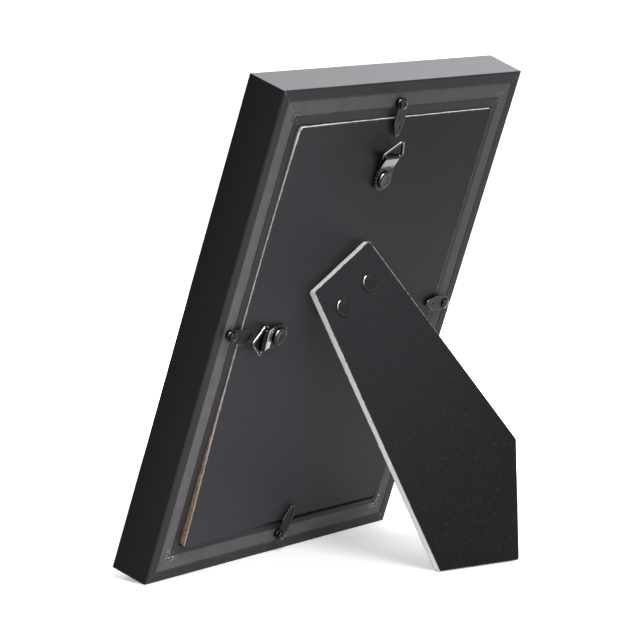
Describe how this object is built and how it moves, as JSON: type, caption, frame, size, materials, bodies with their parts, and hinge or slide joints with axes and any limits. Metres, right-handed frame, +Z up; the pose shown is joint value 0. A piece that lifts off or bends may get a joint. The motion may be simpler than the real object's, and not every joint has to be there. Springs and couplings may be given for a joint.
{
  "type": "easel back photo frame",
  "caption": "Rectangular picture frame standing on a folding two-way strut, with turn buttons that hold its back board and wire rings for hanging it upright or sideways.",
  "frame": {"origin": "on the table, under the middle of the standing frame's box", "axes": "+Z up, -Y towards the picture's front, +Y towards the strut behind, +X to the left as seen from behind"},
  "size_m": [0.164, 0.106, 0.2082],
  "materials": {
    "foil_moulding": "black satin foil",
    "glass": "clear float glass",
    "picture_paper": "matt paper",
    "back_board": "black-faced fibre board",
    "bare_steel": "bare steel",
    "black_screw": "black",
    "black_metal": "black lacquer",
    "hinge_steel": "black lacquer",
    "strut_core": "cut white board",
    "strut_paper": "black grained paper"
  },
  "bodies": {
    "frame": {"rail_top": "foil_moulding", "rail_right": "foil_moulding", "rail_bottom": "foil_moulding", "rail_left": "foil_moulding", "corner_nails": "bare_steel", "glass_pane": "glass", "picture_insert": "picture_paper", "hinge_leaf_board": "hinge_steel", "hinge_pin": "hinge_steel", "hinge_rivets_board": "hinge_steel", "hanger_strap_top": "black_metal", "hanger_rivet_top": "black_metal", "hanger_strap_left": "black_metal", "hanger_rivet_left": "black_metal", "back_board": "back_board", "button_screws": "black_screw"},
    "strut": {"strut_core": "strut_core", "strut_paper_front": "strut_paper", "strut_paper_back": "strut_paper", "strut_rivets": "black_metal", "hinge_leaf_strut": "hinge_steel"},
    "ring_top": {"hanger_ring_top": "black_metal"},
    "ring_left": {"hanger_ring_left": "black_metal"},
    "turn_button_top": {"button_top": "black_metal"},
    "turn_button_right": {"button_right": "black_metal"},
    "turn_button_bottom": {"button_bottom": "black_metal"},
    "turn_button_left": {"button_left": "black_metal"}
  },
  "joints": [
    {"name": "strut_fold", "type": "hinge", "parent": "frame", "child": "strut", "pos_m": [0.0118, 0.00709, 0.12173], "axis": [-0.8192, 0.1772, 0.5455], "range_deg": [0, 31.7]},
    {"name": "ring_top_swing", "type": "hinge", "parent": "frame", "child": "ring_top", "pos_m": [0.0021, 0.02289, 0.17116], "axis": [-1, 0, 0], "range_deg": [-14, 127.5]},
    {"name": "ring_left_swing", "type": "hinge", "parent": "frame", "child": "ring_left", "pos_m": [0.05269, -0.0001, 0.10039], "axis": [0.0436, 0.3087, 0.9502], "range_deg": [0, 141.5]},
    {"name": "button_top_turn", "type": "hinge", "parent": "frame", "child": "turn_button_top", "pos_m": [0.0031, 0.02716, 0.19385], "axis": [0, 0.9511, -0.309], "range_deg": [-97.5, 82.5]},
    {"name": "button_right_turn", "type": "hinge", "parent": "frame", "child": "turn_button_right", "pos_m": [-0.0729, -0.0025, 0.10255], "axis": [0, 0.9511, -0.309], "range_deg": [-83.5, 96.5]},
    {"name": "button_bottom_turn", "type": "hinge", "parent": "frame", "child": "turn_button_bottom", "pos_m": [-0.001, -0.03319, 0.00811], "axis": [0, 0.9511, -0.309], "range_deg": [-79, 101]},
    {"name": "button_left_turn", "type": "hinge", "parent": "frame", "child": "turn_button_left", "pos_m": [0.0734, -0.00179, 0.10474], "axis": [0, 0.9511, -0.309], "range_deg": [-80.5, 99.5]}
  ]
}
